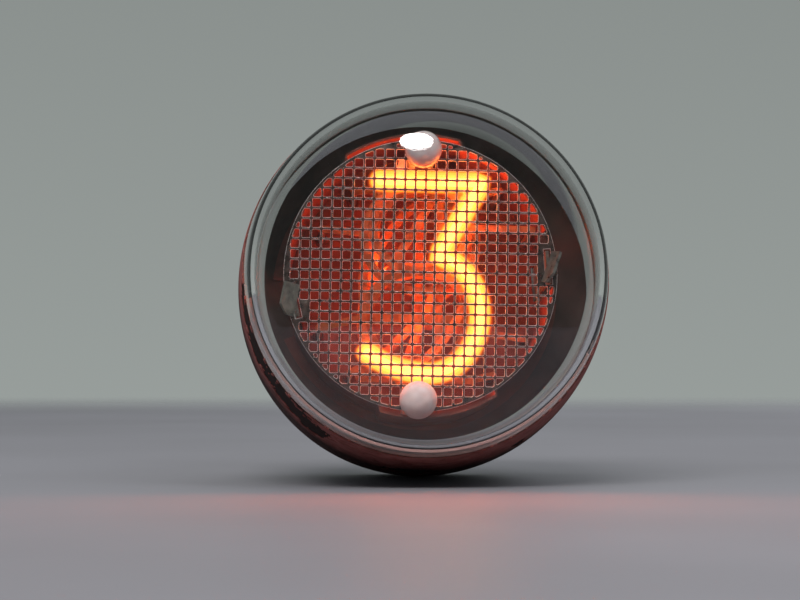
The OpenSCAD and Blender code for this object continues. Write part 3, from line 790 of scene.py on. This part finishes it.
def stroke_tube(radius_wide, radius_deep):
    """A closed tube round the path of the lit numeral, before it is remeshed into one even skin."""
    around = 16
    cap_steps = 5
    verts, faces, rings = [], [], []
    start = (THREE[0] - THREE[1]).normalized()
    end = (THREE[-1] - THREE[-2]).normalized()
    angles = [math.pi / 2 * i / cap_steps for i in range(1, cap_steps)]
    line = [(THREE[0] + start * radius_wide * math.cos(a), math.sin(a)) for a in angles]
    line += [(p, 1.0) for p in THREE]
    line += [(THREE[-1] + end * radius_wide * math.cos(a), math.sin(a)) for a in reversed(angles)]
    for i, (p, size) in enumerate(line):
        before = line[max(i - 1, 0)][0]
        after = line[min(i + 1, len(line) - 1)][0]
        ahead = (after - before).normalized()
        across = Vector((-ahead.y, ahead.x))
        ring = []
        for k in range(around):
            a = 2 * math.pi * k / around
            q = p + across * (radius_wide * size * math.cos(a))
            ring.append(len(verts))
            verts.append(system_place(q.x, q.y, NUMERAL_H + radius_deep * size * math.sin(a)))
        rings.append(ring)
    for low, high in zip(rings, rings[1:]):
        for k in range(around):
            n = (k + 1) % around
            faces.append([low[k], low[n], high[n], high[k]])
    faces.append(list(reversed(rings[0])))
    faces.append(rings[-1])
    return verts, faces


GLOW_VOXEL = 0.11
GLOW_SHELLS = [
    # (half width, half depth, colour of one crossing, alpha), from the core outward
    (0.60, 0.38, (0.50, 0.20, 0.030), 0.10),
    (0.80, 0.48, (0.50, 0.24, 0.036), 0.10),
    (0.87, 0.53, (0.22, 0.12, 0.014), 0.06),
    (0.94, 0.57, (0.20, 0.09, 0.006), 0.05),
    (1.01, 0.60, (0.18, 0.035, 0.002), 0.04),
    (1.10, 0.64, (0.12, 0.010, 0.001), 0.03),
]


def make_glow():
    """Nested clear shells round the lit numeral, each remeshed into one even skin."""
    for number, (wide, deep, added, alpha) in enumerate(GLOW_SHELLS):
        verts, faces = stroke_tube(wide, deep)
        name = f"neon_glow_{number}"
        strength = added[0] / alpha
        colour = [part / added[0] for part in added]
        obj = make_object(name, verts, faces, glowing(name, colour, strength, alpha))
        remesh = obj.modifiers.new("even_skin", "REMESH")
        remesh.mode = "VOXEL"
        remesh.voxel_size = GLOW_VOXEL * MM
        remesh.use_smooth_shade = True
        bpy.context.view_layer.update()
        depsgraph = bpy.context.evaluated_depsgraph_get()
        even = bpy.data.meshes.new_from_object(obj.evaluated_get(depsgraph))
        obj.modifiers.clear()
        obj.data = even
        obj.visible_shadow = False


make_bulb()
make_lacquer()
make_mesh_grid()
make_bead("bead_upper", "upper_bead", 1, UPPER_CERAMIC)
make_bead("bead_lower", "lower_bead", -1, LOWER_CERAMIC)
make_eyelets()
make_glow()
dress_cad_nodes()


# ---------------------------------------------------------------- stage, lamps and camera

CAMERA_DISTANCE = 200
RING_H = 33
CAMERA_X = -7.96
CAMERA_Z = -24.53
FOCAL_PX = 2534
RING_U, RING_V = 427.67, 269.76
IMAGE_W, IMAGE_H = 800, 600
ROLL = math.radians(1.2)
FLOOR_TILT = math.radians(5)
SENSOR_MM = 36
TABLE_R = 0.6
TABLE_FADE = 0.24, 0.46
TABLE_GAP = 0.02
BACKDROP_LOW, BACKDROP_HIGH = (0.335, 0.365, 0.352), (0.215, 0.235, 0.227)
FRONT_MIRRORED = 0.3  # share of the backdrop that glass and metal show of the side where the camera stands
AMBIENT, AMBIENT_COLOUR = 0.42, (0.86, 0.92, 1, 1)

# Lamps: place, what each one points at, width, height, watts, colour
LAMPS = {
    "key": ((-0.14, -0.38, 0.32), (0, -0.03, 0), 0.26, 0.20, 2.1, (1, 0.98, 0.96)),
    "top": ((-0.02, -0.02, 0.42), (0, -0.01, 0), 0.25, 0.25, 0.5, (1, 0.99, 0.97)),
    "back": ((0.16, 0.34, 0.24), (0, 0, 0), 0.22, 0.22, 0.6, (0.97, 0.98, 1)),
    "fill": ((0.20, -0.28, 0.30), (0, -0.03, 0), 0.20, 0.20, 0.55, (0.95, 0.97, 1)),
}
# The one lamp whose picture shows: in the window, in front of the upper bead
WINDOW_LAMP = (-0.013, -0.507, 0.376), (0, -0.033, 0.010), 0.080, 0.045, 0.34, (1, 1, 1), "ELLIPSE"
# Neon light: radius in mm and watts of each lamp along the stroke and of each behind it, then the disc at the
# window, with its width in metres and its watts
STROKE_LAMP, REAR_LAMP = (0.4, 0.0018), (1.5, 0.0038)
FRONT_LAMP_D, FRONT_LAMP_W = 0.016, 0.017
# How far the three kinds stand in front of the numeral, behind it and behind the crown, and the rear ones' circle
STROKE_LAMP_UP, REAR_LAMP_DOWN, FRONT_LAMP_DOWN = 0.45, 3.4, 2.2
REAR_LAMP_R = 3


def from_axes(x, y, z, origin):
    """The matrix of an object that has these axes and stands at this place."""
    return Matrix(((*x, 0), (*y, 0), (*z, 0), (*origin, 1))).transposed()


def make_camera():
    """The photograph's view, turned by its roll. Gives the direction to the right in the picture."""
    camera = bpy.data.objects.new("camera", bpy.data.cameras.new("camera"))
    bpy.context.scene.collection.objects.link(camera)
    camera.data.sensor_width = SENSOR_MM
    camera.data.lens = FOCAL_PX * SENSOR_MM / IMAGE_W
    camera.data.clip_start = 0.01
    camera.data.clip_end = 10
    eye = place(CAMERA_X, CAMERA_Z, RING_H + CAMERA_DISTANCE)
    ahead = (place(0, 0, RING_H) - eye).normalized()
    right = ahead.cross(Vector((0, 0, 1))).normalized()
    up = right.cross(ahead)
    ahead = ahead - right * (RING_U - IMAGE_W / 2) / FOCAL_PX + up * (RING_V - IMAGE_H / 2) / FOCAL_PX
    ahead.normalize()
    right = ahead.cross(Vector((0, 0, 1))).normalized()
    up = right.cross(ahead)
    turned_right = right * math.cos(ROLL) + up * math.sin(ROLL)
    turned_up = up * math.cos(ROLL) - right * math.sin(ROLL)
    camera.matrix_world = from_axes(turned_right, turned_up, -ahead, eye)
    bpy.context.scene.camera = camera
    return turned_right


def make_floor(sideways):
    """A round table top that fades into the backdrop, under the bulb at its lowest line."""
    material, tree, shader = new_material("table")
    mottled = object_noise(tree, 0.012, 5.0)
    colour = ramp(tree, mottled, (0.165, 0.162, 0.178), (0.19, 0.187, 0.207))
    tree.links.new(colour, shader.inputs["Base Color"])
    shader.inputs["Roughness"].default_value = 0.5
    shader.inputs["Specular IOR Level"].default_value = 0.5
    bump(tree, object_noise(tree, 3.0, 2.0), 0.004, shader, 0.3)
    place_node = add(tree, "ShaderNodeTexCoord")
    from_middle = add(tree, "ShaderNodeVectorMath", operation="LENGTH")
    tree.links.new(place_node.outputs["Object"], from_middle.inputs[0])
    fade = share_between(tree, from_middle.outputs["Value"], *TABLE_FADE, 1, 0, "SMOOTHSTEP")
    tree.links.new(fade, shader.inputs["Alpha"])
    mesh = bpy.data.meshes.new("table")
    mesh.from_pydata([(*polar(TABLE_R, 2 * math.pi * i / 96), 0) for i in range(96)], [], [list(range(96))])
    mesh.materials.append(material)
    table = bpy.data.objects.new("table", mesh)
    bpy.context.scene.collection.objects.link(table)
    ahead = Vector((0, math.cos(FLOOR_TILT), math.sin(FLOOR_TILT)))
    across = (sideways - ahead * sideways.dot(ahead)).normalized()
    normal = across.cross(ahead)
    touch_h = BELLY_H - SIDE_CURVE_R * math.sin(FLOOR_TILT)
    down = -Vector((normal.x, 0, normal.z)).normalized()
    touch = (down * side_radius(touch_h, LACQUER_T + TABLE_GAP) - Vector((0, touch_h, 0))) * MM
    table.matrix_world = from_axes(across, ahead, normal, touch)


def make_lamp(name, position, target, width, height, watts, colour, shape="RECTANGLE"):
    """An area lamp turned to its target."""
    lamp = bpy.data.lights.new(name, "AREA")
    lamp.shape = shape
    lamp.size = width
    lamp.size_y = height
    lamp.energy = watts
    lamp.color = colour
    obj = bpy.data.objects.new(name, lamp)
    bpy.context.scene.collection.objects.link(obj)
    obj.location = position
    obj.rotation_euler = (Vector(target) - Vector(position)).to_track_quat("-Z", "Y").to_euler()
    return obj


def make_world():
    """A pale backdrop that glass and metal show too, dimmer where it faces the window, and an even light."""
    world = bpy.data.worlds.new("room")
    bpy.context.scene.world = world
    world.use_nodes = True
    tree = world.node_tree
    tree.nodes.clear()
    out = add(tree, "ShaderNodeOutputWorld")
    light = add(tree, "ShaderNodeLightPath")
    seen = add(tree, "ShaderNodeMath", operation="MAXIMUM")
    seen_more = add(tree, "ShaderNodeMath", operation="MAXIMUM")
    tree.links.new(light.outputs["Is Camera Ray"], seen.inputs[0])
    tree.links.new(light.outputs["Is Transmission Ray"], seen.inputs[1])
    tree.links.new(seen.outputs["Value"], seen_more.inputs[0])
    tree.links.new(light.outputs["Is Glossy Ray"], seen_more.inputs[1])
    direction = add(tree, "ShaderNodeTexCoord")
    split = add(tree, "ShaderNodeSeparateXYZ")
    tree.links.new(direction.outputs["Generated"], split.inputs["Vector"])
    shade = ramp(tree, split.outputs["Z"], BACKDROP_LOW, BACKDROP_HIGH, 0.0, 0.35)
    backdrop = add(tree, "ShaderNodeBackground")
    tree.links.new(shade, backdrop.inputs["Color"])
    front = share_between(tree, split.outputs["Y"], -0.9, -0.3, FRONT_MIRRORED, 1)
    mirrored = add(tree, "ShaderNodeMix", data_type="FLOAT")
    mirrored.inputs[2].default_value = 1
    tree.links.new(light.outputs["Is Glossy Ray"], mirrored.inputs[0])
    tree.links.new(front, mirrored.inputs[3])
    tree.links.new(mirrored.outputs[0], backdrop.inputs["Strength"])
    ambient = add(tree, "ShaderNodeBackground", Strength=AMBIENT, Color=AMBIENT_COLOUR)
    mix = add(tree, "ShaderNodeMixShader")
    tree.links.new(seen_more.outputs["Value"], mix.inputs["Fac"])
    tree.links.new(ambient.outputs["Background"], mix.inputs[1])
    tree.links.new(backdrop.outputs["Background"], mix.inputs[2])
    tree.links.new(mix.outputs["Shader"], out.inputs["Surface"])


def hide_lamp(lamp):
    """Leaves a lamp's light, but not its picture in glass and metal."""
    lamp.visible_camera = False
    lamp.visible_glossy = False
    lamp.visible_transmission = False


def make_neon_light():
    """The light that the glow throws: lamps along the stroke, broad ones behind, and a disc at the window."""
    places = [(system_place(p.x, p.y, NUMERAL_H + STROKE_LAMP_UP), *STROKE_LAMP) for p in THREE[5::11]]
    for angle in (30, 150, 270):
        x, z = polar(REAR_LAMP_R, math.radians(angle))
        places.append((system_place(x, z, NUMERAL_H - REAR_LAMP_DOWN), *REAR_LAMP))
    for number, (position, radius, watts) in enumerate(places):
        lamp = bpy.data.lights.new(f"neon_{number}", "POINT")
        lamp.shadow_soft_size = radius * MM
        lamp.energy = watts
        lamp.color = NEON_LIGHT
        obj = bpy.data.objects.new(f"neon_{number}", lamp)
        bpy.context.scene.collection.objects.link(obj)
        obj.location = position
        hide_lamp(obj)
    front = system_place(0, 0, CROWN_H - FRONT_LAMP_DOWN)
    ahead = front + Vector((0, -1, 0))
    lamp = make_lamp("neon_front", front, ahead, FRONT_LAMP_D, FRONT_LAMP_D, FRONT_LAMP_W, NEON_LIGHT, "DISK")
    hide_lamp(lamp)


make_floor(make_camera())
make_world()
make_neon_light()
for name, values in LAMPS.items():
    hide_lamp(make_lamp(name, *values))
make_lamp("window_light", *WINDOW_LAMP)

scene = bpy.context.scene
scene.view_settings.view_transform = "Standard"
scene.cycles.use_denoising = True
scene.cycles.transparent_max_bounces = 40
scene.cycles.max_bounces = 16
scene.cycles.transmission_bounces = 14
